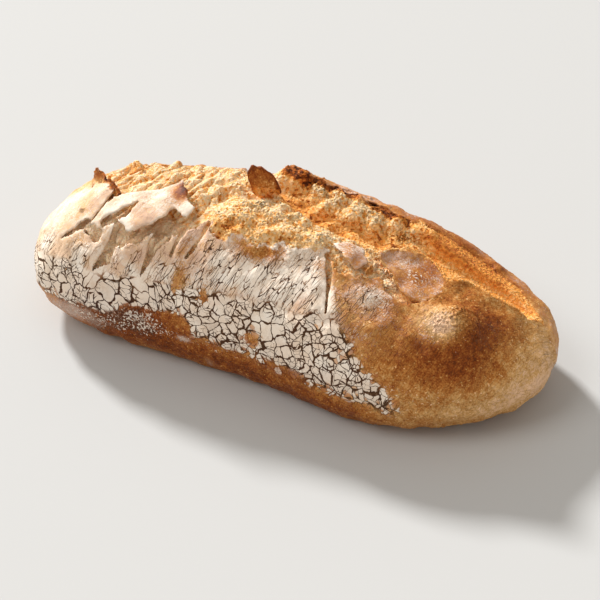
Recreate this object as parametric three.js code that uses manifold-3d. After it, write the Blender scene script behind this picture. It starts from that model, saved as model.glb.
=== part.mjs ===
// A rustic oval wheat loaf, baked until its top burst open along its length.
// Millimetres, +Z up. X runs along the loaf, Y across it, and the origin is under its middle, on the
// surface that it rests on. The loaf is one solid: its smooth skin, the torn split along the crest with
// a low front lip and a high back ear, the flaps of skin that lie over the torn crumb, and the shards of
// skin that stand up beside it.

import * as THREE from "three";
import { ImprovedNoise } from "three/addons/math/ImprovedNoise.js";
import { mergeVertices } from "three/addons/utils/BufferGeometryUtils.js";
import Module from "manifold-3d";

// Overall form

const HALF_LENGTH = 150;
const WIDEST_LEVEL = 26; // height of the fullest part of the sides
const UNDERCUT_DEPTH = 40; // how far below that level the sides would close, were there no flat base
const PLAN_POWER = 2.45; // 2 would make the outline an ellipse, and more makes blunter ends
const CROWN_POWER = 2.2; // the same for the section above the widest level
const UNDERCUT_POWER = 2.4; // and below it

// Along the loaf, as [x, value] pairs that a smooth curve passes through
const halfWidth = curveThrough([[-150, 73], [-75, 58], [0, 63], [75, 69], [150, 64]]);
const axisShift = curveThrough([[-150, -6.5], [-75, -1.5], [0, 5.5], [75, -2], [150, 0.5]]);
const crownHeight = curveThrough([[-150, 67], [-75, 63], [0, 58], [75, 48], [150, 41]]);

// The split: where its two edges lie across the loaf, how far they stand up, and how deep it is

const SPLIT_START = -119;
const SPLIT_END = 139;
const SPLIT_FADE = 14; // the length over which the split opens at each end
const frontEdge = curveThrough([
  [-119, -1], [-108, -8], [-100, -13], [-96, -35], [-92, -36.5], [-88, -35.5], [-83, -42.5], [-77, -43.5],
  [-72, -42], [-65, -37], [-53, -32], [-47, -31], [-41, -25], [-38, -23], [-34, -28], [-24, -30], [-2, -27],
  [14, -25], [27, -21], [33, -25], [40, -29], [48, -27], [53, -16], [57, -4], [64, 3], [77, 4.5], [84, -1.5],
  [90, -4], [101, 1], [112, 0.5], [120, 1.5], [131, 3], [139, 8],
]);
const backEdge = curveThrough([
  [-119, 12], [-110, 21], [-100, 26], [-60, 34], [-20, 38], [12, 37], [45, 35], [70, 36], [96, 35],
  [115, 28], [129, 19], [139, 10],
]);
const frontLip = curveThrough([
  [-119, 3], [-108, 4], [-95, 2], [-60, 2], [-30, 1.5], [20, 1.5], [50, 2.5], [90, 3], [125, 3], [139, 1],
]);
const backEar = curveThrough([
  [-119, 0], [-95, 0.5], [-55, -2], [-40, -5], [-27, -5.5], [-21, 0], [-15, 4.5], [-8, 4], [5, 2], [47, 0],
  [54, -1], [65, 0.5], [80, -1], [100, -3], [139, -1],
]);
const frontReach = curveThrough([[-119, 11], [28, 8], [50, 6], [139, 6]]); // how far the lip lifts the skin
const backReach = curveThrough([[-119, 11], [-30, 14], [-18, 5], [139, 6]]); // and how far the ear does
const EDGE_STEP = 2.5; // the crumb lies this far below the skin's front edge
const BACK_STEP = 0.4; // and this far below the back one

// The crumb climbs to the ear over a slope with its foot at one place across the loaf, and a groove runs
// along another
const earFoot = curveThrough([
  [-119, 4], [-100, 16], [-60, 26], [-28, 26], [-14, 22], [20, 24], [45, 23], [63, 26], [76, 22], [90, 20],
  [115, 16], [139, 8],
]);
const earRise = curveThrough([[-119, 8], [-28, 12], [-14, 14], [45, 12], [60, 6], [139, 5]]);
const grooveLine = curveThrough([
  [-119, 1], [-90, -22], [-56, -24], [-37, -8], [-15, 20], [0, 15], [11, 10], [22, 8], [35, 10], [55, 14],
  [110, 15], [139, 9],
]);
const grooveDepth = curveThrough([
  [-119, 1], [-90, 4], [-56, 5], [-37, 4], [-15, 5], [0, 8], [20, 9], [60, 8], [110, 6], [139, 2],
]);
const grooveWidth = curveThrough([
  [-119, 8], [-56, 10], [-37, 12], [0, 11], [22, 10], [55, 12], [110, 10], [139, 6],
]);
const RELIEF_FADE = 8; // all of it fades out over this height above the widest level
const RAGGED = 2.2; // sideways wander of the torn edges
const RAGGED_PITCH = 9;
const CRUMB_RELIEF = 2.5; // rise and fall of the torn crumb
const CRUMB_PITCH = 11;

// A dome of risen crumb fills the front of the split at mid-length
const MOUND = { x: -5, y: -16, length: 44, width: 19, height: 6.5 };

// Swellings of the top: place in plan, radius and height
const SWELLINGS = [
  { x: 99, y: -28, radius: 24, height: 1.5 },
  { x: 104, y: -32, radius: 13, height: 7.5 },
  { x: -112, y: -24, radius: 26, height: 2 },
  { x: 40, y: -50, radius: 30, height: 1.5 },
  { x: -35, y: 52, radius: 34, height: 2.5 },
  { x: 70, y: 48, radius: 28, height: 2 },
];

// Tears that run down the skin from the split, each a line through points in plan with a width at each
const TEARS = [
  { points: [[-84.5, -37], [-88.5, -44.5], [-95.5, -49.7]], widths: [9, 5, 1], depth: 3 },
  { points: [[-60, -35], [-63, -42], [-66.5, -49]], widths: [9, 5, 1], depth: 3 },
  { points: [[30, -22], [35.5, -36], [39, -49]], widths: [4, 2.4, 1.2], depth: 1.6 },
  {
    points: [[53, -12], [61, -20], [67.5, -26.5], [76, -28.5], [83.5, -23.5], [89, -12.5]],
    widths: [9, 8, 6, 3.5, 2.4, 1.8],
    depth: 4,
  },
  { points: [[-119.5, -39], [-107, -34], [-96, -40]], widths: [2, 5, 4], depth: 2.5 },
];

const TEAR_BANK = 0.5; // a tear's sloping bank lies this far to each side of its edge, in half widths

// Flaps of skin that lie over the torn crumb: an outline in plan, with how far each point is lifted
const FLAPS = [
  [
    [-103, -35, 0.5], [-99, -34.5, 1], [-93, -31, 1.5], [-86, -26.5, 2], [-80, -22.5, 2], [-81.5, -29, 2],
    [-85, -35, 3], [-80, -38, 3.5], [-76.4, -38.3, 3.5], [-71, -37, 3], [-65.6, -33.8, 2.5], [-62, -28, 2],
    [-58.6, -19.6, 1.5], [-53, -25.7, 2], [-49, -25.5, 2], [-47.8, -20, 2], [-51.5, -17, 2],
    [-57.3, -9.5, 2.5], [-62.6, -1.6, 2.5], [-66, -3, 0.5], [-71.3, -6.2, 0], [-76.4, -11.6, -0.5],
    [-83.3, -13.5, 0], [-90.4, -15.1, 0], [-96, -19, 0], [-99, -26, 0], [-103, -31, 0],
  ],
  [
    [30, -15.4, 1.5], [34.6, -10.9, 1], [45.2, -10.8, 0.5], [51.1, -19.1, 0], [44.6, -24.3, 0],
    [39.7, -22.4, 1.5],
  ],
  [
    [52, -10, 1], [55.7, -5, 0.5], [63, 1.5, 0.5], [71, 4, 0.5], [82, 1, 0.5], [88, -3, 0], [90, -15, 0],
    [84.5, -25, 0], [78, -27, 0.5], [71.5, -25.5, 1], [66.9, -21, 1], [62.7, -16.5, 1], [56.8, -14, 1],
  ],
];
const FLAP_THICKNESS = 2.6;
const FLAP_STEP = 4.5; // a flap is divided about this finely
const CORNER_PULL = 1.5; // how strongly each point of the outline rules the lift around it
const TALLEST = 130; // no part of the loaf lies as high

// Shards of skin that stand up. Each grows from a line across its foot, a place in plan, and reaches
// towards lean, in degrees from +X, at a pitch over the skin. Peak is where along that line, from -1 to 1,
// it reaches farthest, and bluntness how square it ends. Bow lifts its tip and skew leans it sideways.
const SHARDS = [
  {
    foot: [-107, -6], lean: 57, pitch: 72, width: 32, length: 9,
    peak: -0.55, bluntness: 0.2, bow: 1, skew: 0,
  },
  {
    foot: [-18, 10], lean: 114, pitch: 80, width: 16, length: 14.5,
    peak: -0.3, bluntness: 0.75, bow: -1, skew: -0.4,
  },
];
const SHARD_THICKNESS = 3;
const TIP_THINNING = 0.5; // a shard's tip is this much thinner, as a share
const SHARD_ROOT = 9; // how far a shard runs on behind its foot
const ROOT_DIP = 9; // how deep the root's end goes below the foot
const ROOT_TAPER = 0.8; // and how much narrower it gets on each side for each millimetre
const TANGENT_REACH = 3; // the skin's slope at a foot is taken over this distance each way

// How finely the skin is divided
const STATIONS = 108;
const BASE_STEPS = 6;
const BACK_STEPS = 11;
const SPLIT_STEPS = 14;
const FRONT_STEPS = 14;
const SHARD_STEPS = { across: 8, along: 6 };
const EDGE_ANGLE = 0.012; // half the angle that a torn edge's wall takes up
const PLAIN_BACK = 1.2; // where those pairs lie at the loaf's two tips, past the split
const PLAIN_FRONT = 1.9;
const STEEPEST_BASE = 1.1; // most that the flat base's edge lies below the widest level, seen from the axis
const FARTHEST = 120; // no skin lies this far from the loaf's axis
const HALVINGS = 24;
const WELD = 0.02; // points closer than this become one

const CRUST_COLOUR = 0xb9783a;

// Smooth curve through [x, value] pairs, level beyond the first and the last
function curveThrough(pairs) {
  const last = pairs.length - 1;
  const slope = pairs.map((pair, i) => {
    const before = pairs[Math.max(i - 1, 0)];
    const after = pairs[Math.min(i + 1, last)];
    return (after[1] - before[1]) / (after[0] - before[0]);
  });
  return (x) => {
    if (x <= pairs[0][0]) return pairs[0][1];
    if (x >= pairs[last][0]) return pairs[last][1];
    const i = pairs.findIndex((pair) => pair[0] > x) - 1;
    const [x0, y0] = pairs[i];
    const [x1, y1] = pairs[i + 1];
    const span = x1 - x0;
    const t = (x - x0) / span;
    const level = y0 * (1 + 2 * t) * (1 - t) ** 2 + y1 * t ** 2 * (3 - 2 * t);
    return level + span * t * (1 - t) * (slope[i] * (1 - t) - slope[i + 1] * t);
  };
}

const noise = new ImprovedNoise();
const NOISE_LEVEL = 0.37; // the noise is read off between its grid's layers, where it is liveliest
const wander = (x, y, pitch) => noise.noise(x / pitch, y / pitch, NOISE_LEVEL);
const bell = (distance) => Math.exp(-(distance ** 2));
const ease = (t) => THREE.MathUtils.smoothstep(t, 0, 1);
const snapped = (value) => Math.round(value / WELD) * WELD;
const join = (a, b, power) => (Math.abs(a) ** power + Math.abs(b) ** power) ** (1 / power);

// How far a point in plan lies from the middle of the loaf: 1 is the outline
const outward = (x, y) => join(x / HALF_LENGTH, (y - axisShift(x)) / halfWidth(x), PLAN_POWER);

// Whether a point is inside the bare loaf, before the split and the swellings
function insideBare(x, y, z) {
  if (z < 0) return false;
  const over = z - WIDEST_LEVEL;
  return over > 0
    ? join(outward(x, y), over / crownHeight(x), CROWN_POWER) < 1
    : join(outward(x, y), over / UNDERCUT_DEPTH, UNDERCUT_POWER) < 1;
}

// The point of the bare loaf's top over a place in plan
function crownPoint(x, y) {
  const left = Math.max(0, 1 - outward(x, y) ** CROWN_POWER);
  return new THREE.Vector3(x, y, WIDEST_LEVEL + crownHeight(x) * left ** (1 / CROWN_POWER));
}

// How open the split is at a station, from 0 past its ends to 1
const opening = (x) => ease((x - SPLIT_START) / SPLIT_FADE) * ease((SPLIT_END - x) / SPLIT_FADE);

const raggedFront = (x) => frontEdge(x) + RAGGED * wander(x, 0, RAGGED_PITCH);
const raggedBack = (x) => backEdge(x) + RAGGED * wander(x, 50, RAGGED_PITCH);

// Height of the torn crumb over the bare loaf
function crumbRelief(x, y) {
  const groove = grooveDepth(x) * bell((y - grooveLine(x)) / grooveWidth(x));
  const fromMound = Math.hypot((x - MOUND.x) / MOUND.length, (y - MOUND.y) / MOUND.width);
  const mound = MOUND.height * bell(fromMound ** 2);
  const climb = ease((y - earFoot(x)) / earRise(x));
  const crumb = THREE.MathUtils.lerp(-EDGE_STEP - groove, backEar(x) - BACK_STEP, climb);
  return mound + crumb + CRUMB_RELIEF * wander(x, y, CRUMB_PITCH);
}

// Depth of the tears at a point of the skin
function tearDepth(point) {
  let depth = 0;
  const nearest = new THREE.Vector3();
  for (const tear of TEARS) {
    const line = tear.points.map(([x, y]) => crownPoint(x, y));
    for (let i = 0; i + 1 < line.length; i += 1) {
      const piece = new THREE.Line3(line[i], line[i + 1]);
      const along = piece.closestPointToPointParameter(point, true);
      const half = THREE.MathUtils.lerp(tear.widths[i], tear.widths[i + 1], along) / 2;
      const apart = piece.at(along, nearest).distanceTo(point);
      const within = (1 + TEAR_BANK - apart / half) / (2 * TEAR_BANK);
      depth = Math.max(depth, tear.depth * ease(within));
    }
  }
  return depth;
}

// Height of the swellings over the bare loaf
function swelling(x, y) {
  const heights = SWELLINGS.map((s) => s.height * bell(Math.hypot(x - s.x, y - s.y) / s.radius));
  return heights.reduce((sum, height) => sum + height);
}

// How far the lip lifts the skin along the split's front edge, and the ear along its back edge
const frontLift = (x, y) => frontLip(x) * Math.exp(-Math.max(raggedFront(x) - y, 0) / frontReach(x));
const backLift = (x, y) => backEar(x) * Math.exp(-Math.max(y - raggedBack(x), 0) / backReach(x));

// Height of the loaf over its bare form, at a point of the bare form above the widest level
function relief(point) {
  const { x, y } = point;
  const raised = swelling(x, y);
  if (y > raggedFront(x) && y < raggedBack(x)) return raised + opening(x) * crumbRelief(x, y);
  const lift = y <= raggedFront(x) ? frontLift(x, y) : backLift(x, y);
  return raised + opening(x) * lift - tearDepth(point);
}

// The loaf's surface where a ray from its axis leaves it. The angle runs from the back over the top.
function skinPoint(x, angle) {
  const ray = new THREE.Vector3(0, Math.cos(angle), Math.sin(angle));
  const axis = new THREE.Vector3(x, axisShift(x), WIDEST_LEVEL);
  let near = 0;
  let far = FARTHEST;
  for (let i = 0; i < HALVINGS; i += 1) {
    const middle = (near + far) / 2;
    const { y, z } = ray.clone().multiplyScalar(middle).add(axis);
    if (insideBare(x, y, z)) near = middle;
    else far = middle;
  }
  const bare = ray.clone().multiplyScalar(near).add(axis);
  if (bare.z <= WIDEST_LEVEL) return bare;
  const fade = ease((bare.z - WIDEST_LEVEL) / RELIEF_FADE);
  return bare.addScaledVector(ray, relief(bare) * fade);
}

// Angle of a place in plan, seen from the axis
function angleOf(x, y) {
  const point = crownPoint(x, y);
  return Math.atan2(point.z - WIDEST_LEVEL, y - axisShift(x));
}

// Angle below the widest level at which the flat base begins
function baseAngle(x) {
  const share = (1 - (WIDEST_LEVEL / UNDERCUT_DEPTH) ** UNDERCUT_POWER) ** (1 / UNDERCUT_POWER);
  const left = Math.max(0, share ** PLAN_POWER - Math.abs(x / HALF_LENGTH) ** PLAN_POWER);
  return Math.min(STEEPEST_BASE, Math.atan2(WIDEST_LEVEL, halfWidth(x) * left ** (1 / PLAN_POWER)));
}

// The angles at which a station's outline is sampled. Each torn edge gets a close pair.
function stationAngles(x) {
  const below = baseAngle(x);
  const settled = ease((HALF_LENGTH - Math.abs(x)) / SPLIT_FADE);
  const back = THREE.MathUtils.lerp(PLAIN_BACK, angleOf(x, raggedBack(x)), settled);
  const front = THREE.MathUtils.lerp(PLAIN_FRONT, angleOf(x, raggedFront(x)), settled);
  const spread = (from, to, steps) =>
    Array.from({ length: steps }, (_, i) => THREE.MathUtils.lerp(from, to, i / (steps - 1)));
  const base = spread(Math.PI + below, 2 * Math.PI - below, BASE_STEPS + 2);
  return [
    ...spread(-below, back - EDGE_ANGLE, BACK_STEPS),
    ...spread(back + EDGE_ANGLE, front - EDGE_ANGLE, SPLIT_STEPS),
    ...spread(front + EDGE_ANGLE, Math.PI + below, FRONT_STEPS),
    ...base.slice(1, -1),
  ];
}

// The loaf without its flaps and shards: rings of points from end to end, closed to a point at both
function loafGeometry() {
  const ringSize = BACK_STEPS + SPLIT_STEPS + FRONT_STEPS + BASE_STEPS;
  const points = [];
  for (let i = 1; i < STATIONS; i += 1) {
    const x = HALF_LENGTH * Math.sin((i / STATIONS - 0.5) * Math.PI);
    for (const angle of stationAngles(x)) points.push(skinPoint(x, angle));
  }
  const start = points.push(new THREE.Vector3(-HALF_LENGTH, axisShift(-HALF_LENGTH), WIDEST_LEVEL)) - 1;
  const end = points.push(new THREE.Vector3(HALF_LENGTH, axisShift(HALF_LENGTH), WIDEST_LEVEL)) - 1;
  const faces = [];
  const lastRing = (STATIONS - 2) * ringSize;
  for (let j = 0; j < ringSize; j += 1) {
    const next = (j + 1) % ringSize;
    faces.push(start, next, j);
    faces.push(end, lastRing + j, lastRing + next);
    for (let ring = 0; ring < lastRing; ring += ringSize) {
      const far = ring + ringSize;
      faces.push(ring + j, ring + next, far + next);
      faces.push(ring + j, far + next, far + j);
    }
  }
  return new THREE.BufferGeometry().setFromPoints(points).setIndex(faces);
}

// Direction of the skin at a place in plan, towards an angle in plan
function skinTangent([x, y], angle) {
  const stepX = TANGENT_REACH * Math.cos(angle);
  const stepY = TANGENT_REACH * Math.sin(angle);
  return crownPoint(x + stepX, y + stepY).sub(crownPoint(x - stepX, y - stepY)).normalize();
}

// How far a flap is lifted at a place in plan: the nearer a point of its outline, the more it counts
function flapLift(outline, x, y) {
  let weights = 0;
  let lifts = 0;
  for (const [cornerX, cornerY, lift] of outline) {
    const weight = (1 + (x - cornerX) ** 2 + (y - cornerY) ** 2) ** -CORNER_PULL;
    weights += weight;
    lifts += weight * lift;
  }
  return lifts / weights;
}

// A slab of skin that covers a flap's outline, at the skin's height and lifted
function slabGeometry(outline) {
  const bounds = new THREE.Box2().setFromPoints(outline.map(([x, y]) => new THREE.Vector2(x, y)));
  const size = bounds.getSize(new THREE.Vector2());
  const middle = bounds.getCenter(new THREE.Vector2());
  const steps = size.clone().divideScalar(FLAP_STEP).ceil();
  const slab = new THREE.BoxGeometry(size.x, size.y, FLAP_THICKNESS, steps.x, steps.y, 1);
  slab.translate(middle.x, middle.y, -FLAP_THICKNESS / 2);
  const place = slab.getAttribute("position");
  for (let i = 0; i < place.count; i += 1) {
    const x = place.getX(i);
    const y = place.getY(i);
    const level = swelling(x, y) + opening(x) * frontLift(x, y) + flapLift(outline, x, y) + place.getZ(i);
    const outside = skinTangent([x, y], 0).cross(skinTangent([x, y], Math.PI / 2)).normalize();
    const point = crownPoint(x, y).addScaledVector(outside, level);
    place.setXYZ(i, point.x, point.y, point.z);
  }
  return slab;
}

// One flap: the slab, cut to the outline
function flapSolid(outline) {
  const shape = new THREE.Shape(outline.map(([x, y]) => new THREE.Vector2(x, y)));
  const prism = new THREE.ExtrudeGeometry(shape, { depth: TALLEST, bevelEnabled: false });
  return solidOf(slabGeometry(outline)).intersect(solidOf(prism));
}

// How far a shard reaches, as a share of its length, at a place from -1 to 1 along its foot
function shardReach(place, { peak, bluntness }) {
  const share = Math.max(0, place < peak ? (place + 1) / (peak + 1) : (1 - place) / (1 - peak));
  const arch = Math.sin((share * Math.PI) / 2);
  return THREE.MathUtils.lerp(share, arch, bluntness) ** (1 - bluntness);
}

// One shard: a thin plate, cut to its outline, bowed, and bent down into the loaf behind its foot
function shardGeometry(shard) {
  const { foot, width, length, bow, skew } = shard;
  const { across, along } = SHARD_STEPS;
  const plate = new THREE.BoxGeometry(width, 1, SHARD_THICKNESS, across, along, 1);
  const place = plate.getAttribute("position");
  for (let i = 0; i < place.count; i += 1) {
    const share = place.getY(i) + 0.5;
    const reach = length * shardReach((2 * place.getX(i)) / width, shard);
    const ahead = THREE.MathUtils.lerp(-SHARD_ROOT, reach, share);
    const bend = ahead > 0 ? bow * (ahead / length) ** 2 : -ROOT_DIP * (ahead / SHARD_ROOT) ** 2;
    const narrowed = 1 + (2 * ROOT_TAPER * Math.min(ahead, 0)) / width;
    place.setX(i, place.getX(i) * narrowed + skew * Math.max(ahead, 0));
    place.setY(i, ahead);
    place.setZ(i, place.getZ(i) * (1 - TIP_THINNING * share ** 2) + bend);
  }
  const lean = THREE.MathUtils.degToRad(shard.lean);
  const pitch = THREE.MathUtils.degToRad(shard.pitch);
  const wide = skinTangent(foot, lean - Math.PI / 2);
  const face = wide.clone().cross(skinTangent(foot, lean)).normalize();
  const ahead = face.clone().cross(wide).applyAxisAngle(wide, pitch);
  face.applyAxisAngle(wide, pitch);
  const placing = new THREE.Matrix4().makeBasis(wide, ahead, face).setPosition(crownPoint(...foot));
  return plate.applyMatrix4(placing);
}

const wasm = await Module();
wasm.setup();

// A closed geometry as a solid that can be joined
function solidOf(geometry) {
  geometry.deleteAttribute("normal");
  geometry.deleteAttribute("uv");
  const merged = mergeVertices(geometry);
  const vertProperties = new Float32Array(merged.getAttribute("position").array);
  const triVerts = new Uint32Array(merged.index.array);
  return new wasm.Manifold(new wasm.Mesh({ numProp: 3, vertProperties, triVerts }));
}

// A joined solid as a geometry again, with the slivers that joining leaves welded shut
function geometryOf(solid) {
  const { vertProperties, triVerts } = solid.getMesh();
  const joined = new THREE.BufferGeometry();
  joined.setAttribute("position", new THREE.BufferAttribute(vertProperties.map(snapped), 3));
  joined.setIndex(new THREE.BufferAttribute(triVerts, 1));
  const welded = mergeVertices(joined);
  const corners = welded.index.array;
  const faces = [];
  for (let i = 0; i < corners.length; i += 3) {
    const [a, b, c] = corners.slice(i, i + 3);
    if (a !== b && b !== c && c !== a) faces.push(a, b, c);
  }
  welded.setIndex(faces);
  welded.computeVertexNormals();
  return welded;
}

// The outer skin of a solid, with the pockets that flaps and shards shut off filled
function outerSkin(solid) {
  const larger = (one, other) => (other.volume() > one.volume() ? other : one);
  return solid.decompose().reduce(larger);
}

const pieces = [...FLAPS.map(flapSolid), ...SHARDS.map((shard) => solidOf(shardGeometry(shard)))];
const joined = pieces.reduce((solid, piece) => solid.add(piece), solidOf(loafGeometry()));
const crust = new THREE.MeshStandardMaterial({ color: CRUST_COLOUR, roughness: 0.85, metalness: 0 });
const loaf = new THREE.Mesh(geometryOf(outerSkin(joined)), crust);
loaf.name = "loaf";

const bread = new THREE.Group();
bread.add(loaf);

export default bread;
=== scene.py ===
"""A rustic oval wheat loaf that burst open along its crest in the oven, dressed over its solid.

The loaf is one mesh, the zero level of a field of distances in millimetres. The field joins a shell of
crust, torn away along the split and the tears, a core of crumb that shows through them, and thin shards
of crust that stand off. X runs along the loaf, Y across it from the floured front to the ear at the back,
and Z up.
"""

import math

import bpy
import numpy as np
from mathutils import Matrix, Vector


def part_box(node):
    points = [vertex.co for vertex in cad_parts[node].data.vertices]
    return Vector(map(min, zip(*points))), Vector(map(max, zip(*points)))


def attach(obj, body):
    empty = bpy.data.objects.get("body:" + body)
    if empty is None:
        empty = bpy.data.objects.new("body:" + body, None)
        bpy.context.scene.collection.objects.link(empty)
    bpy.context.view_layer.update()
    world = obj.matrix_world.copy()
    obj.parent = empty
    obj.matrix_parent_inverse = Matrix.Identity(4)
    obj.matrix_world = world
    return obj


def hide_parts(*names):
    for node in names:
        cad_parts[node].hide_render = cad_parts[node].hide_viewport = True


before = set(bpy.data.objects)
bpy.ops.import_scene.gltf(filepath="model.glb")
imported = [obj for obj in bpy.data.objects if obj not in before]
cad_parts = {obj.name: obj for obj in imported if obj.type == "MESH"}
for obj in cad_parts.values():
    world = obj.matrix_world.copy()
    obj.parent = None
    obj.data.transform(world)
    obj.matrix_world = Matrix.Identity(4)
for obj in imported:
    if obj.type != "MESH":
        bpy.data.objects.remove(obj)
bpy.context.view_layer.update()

# Overall form, in millimetres
HALF_LENGTH = 150
WIDEST_LEVEL = 26  # height of the fullest part of the sides
UNDERCUT_DEPTH = 40  # how far below that level the sides would close, were there no flat base
PLAN_POWER = 2.45  # 2 would make the outline an ellipse, and more makes blunter ends
CROWN_POWER = 2.2
UNDERCUT_POWER = 2.4

# Along the loaf, as (x, value) pairs that a smooth curve passes through
HALF_WIDTH = [(-150, 73), (-75, 58), (0, 63), (75, 69), (150, 64)]
AXIS_SHIFT = [(-150, -6.5), (-75, -1.5), (0, 5.5), (75, -2), (150, 0.5)]
CROWN_HEIGHT = [(-150, 67), (-75, 63), (0, 58), (75, 48), (150, 41)]

# The split: where its edges lie across the loaf, how far they stand up and how deep it is
SPLIT_START = -119
SPLIT_END = 139
SPLIT_FADE = 14
FRONT_EDGE = [
    (-119, -1), (-108, -8), (-100, -13), (-96, -35), (-92, -36.5), (-88, -35.5), (-83, -42.5), (-77, -43.5),
    (-72, -42), (-65, -37), (-53, -32), (-47, -31), (-41, -25), (-38, -23), (-34, -28), (-24, -30),
    (-2, -27), (14, -25), (27, -21), (33, -25), (40, -29), (48, -27), (53, -16), (57, -4), (64, 3),
    (77, 4.5), (84, -1.5), (90, -4), (101, 1), (112, 0.5), (120, 1.5), (131, 3), (139, 8),
]
BACK_EDGE = [
    (-119, 12), (-110, 21), (-100, 26), (-60, 34), (-20, 38), (12, 37), (45, 35), (70, 36), (96, 35),
    (115, 28), (129, 19), (139, 10),
]
FRONT_LIP = [
    (-119, 3), (-108, 4), (-95, 2), (-60, 2), (-30, 1.5), (20, 1.5), (50, 2.5), (90, 3), (125, 3), (139, 1),
]
FRONT_REACH = [(-119, 11), (28, 8), (50, 6), (139, 6)]  # how far down the skin the lip still lifts it
BACK_EAR = [
    (-119, 0), (-95, 0.5), (-55, -2), (-40, -5), (-27, -5.5), (-21, 0), (-15, 4.5), (-8, 4), (5, 2),
    (47, 0), (54, -1), (65, 0.5), (80, -1), (100, -3), (139, -1),
]
BACK_REACH = [(-119, 11), (-30, 14), (-18, 5), (139, 6)]
EAR_FOOT = [
    (-119, 4), (-100, 16), (-60, 26), (-28, 26), (-14, 22), (20, 24), (45, 23), (63, 26), (76, 22),
    (90, 20), (115, 16), (139, 8),
]
EAR_RISE = [(-119, 8), (-28, 12), (-14, 14), (45, 12), (60, 6), (139, 5)]  # how far across its face runs
GROOVE_LINE = [
    (-119, 1), (-90, -22), (-56, -24), (-37, -8), (-15, 20), (0, 15), (11, 10), (22, 8), (35, 10), (55, 14),
    (110, 15), (139, 9),
]
GROOVE_DEPTH = [
    (-119, 1), (-90, 4), (-56, 5), (-37, 4), (-15, 5), (0, 8), (20, 9), (60, 8), (110, 6), (139, 2),
]
GROOVE_WIDTH = [(-119, 8), (-56, 10), (-37, 12), (0, 11), (22, 10), (55, 12), (110, 10), (139, 6)]
EDGE_STEP = 2.5  # the crumb lies this far below the front edge of the skin
BACK_STEP = 0.4  # and below the back one, whose torn face it is
MOUND = {"x": -5, "y": -16, "length": 44, "width": 19, "height": 6.5}

# Swellings of the top: place in plan, radius and height. The bump near the right end is the sharpest.
BUMP = (104, -32, 13, 7.5)
SWELLINGS = [
    (99, -28, 24, 1.5), BUMP, (-112, -24, 26, 2), (40, -50, 30, 1.5), (-35, 52, 34, 2.5),
    (70, 48, 28, 2), (-103, 21, 4, 2),
]
UPPER_LEVEL = 34  # the split and the swellings set in between the widest level and this one

# Tears that run down the skin from the split: points in plan, a width at each, and a depth
TEARS = [
    {"points": [(-84.5, -37), (-88.5, -44.5), (-95.5, -49.7)], "widths": (9, 5, 1), "depth": 3},
    {"points": [(-60, -35), (-63, -42), (-66.5, -49)], "widths": (9, 5, 1), "depth": 3},
    {"points": [(30, -22), (35.5, -36), (39, -49)], "widths": (4, 2.4, 1.2), "depth": 1.6},
    {"points": [(53, -12), (61, -20), (67.5, -26.5), (76, -28.5), (83.5, -23.5), (89, -12.5)],
     "widths": (9, 8, 6, 3.5, 2.4, 1.8), "depth": 4},
    {"points": [(-119.5, -39), (-107, -34), (-96, -40)], "widths": (2, 5, 4), "depth": 2.5},
    {"points": [(-37, -23), (-38.7, -32), (-43.4, -41)], "widths": (2.4, 2, 1.4), "depth": 1.5},
    {"points": [(-48, -31), (-50, -36), (-52, -41)], "widths": (2.4, 2, 1.4), "depth": 1.5},
    {"points": [(44.3, -25.6), (50.8, -20)], "widths": (1.2, 1.6), "depth": 1.2},
    {"points": [(46.9, -29), (56.3, -22.3)], "widths": (1, 1.6), "depth": 1.2},
    {"points": [(-98.5, -17), (-103, -32)], "widths": (1.4, 1), "depth": 1.5},
]

# Flaps of crust that stand off over the torn crumb: an outline in plan, with how far each point is lifted
FLAPS = [
    {"outline": [
        (-103, -35, 0.5), (-99, -34.5, 1), (-93, -31, 1.5), (-86, -26.5, 2), (-80, -22.5, 2),
        (-81.5, -29, 2), (-85, -35, 3), (-80, -38, 3.5), (-76.4, -38.3, 3.5), (-71, -37, 3),
        (-65.6, -33.8, 2.5), (-62, -28, 2), (-58.6, -19.6, 1.5), (-53, -25.7, 2), (-49, -25.5, 2),
        (-47.8, -20, 2), (-51.5, -17, 2), (-57.3, -9.5, 2.5), (-62.6, -1.6, 2.5), (-66, -3, 0.5),
        (-71.3, -6.2, 0), (-76.4, -11.6, -0.5), (-83.3, -13.5, 0), (-90.4, -15.1, 0),
        (-96, -19, 0), (-99, -26, 0), (-103, -31, 0),
    ], "flour": 0.72, "rim_flour": 0.95, "bake": 0.45},
    {"outline": [
        (30, -15.4, 1.5), (34.6, -10.9, 1), (45.2, -10.8, 0.5), (51.1, -19.1, 0), (44.6, -24.3, 0),
        (39.7, -22.4, 1.5),
    ], "flour": 0.42, "rim_flour": 0.9, "bake": 0.6},
    {"outline": [
        (52, -10, 1), (55.7, -5, 0.5), (63, 1.5, 0.5), (71, 4, 0.5), (82, 1, 0.5), (88, -3, 0),
        (90, -15, 0), (84.5, -25, 0), (78, -27, 0.5), (71.5, -25.5, 1), (66.9, -21, 1),
        (62.7, -16.5, 1), (56.8, -14, 1),
    ], "flour": 0.5, "rim_flour": 0.3, "bake": 0.54},
]
FLAP_FADE = 2
FLAP_THICKNESS = 1.3

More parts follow.
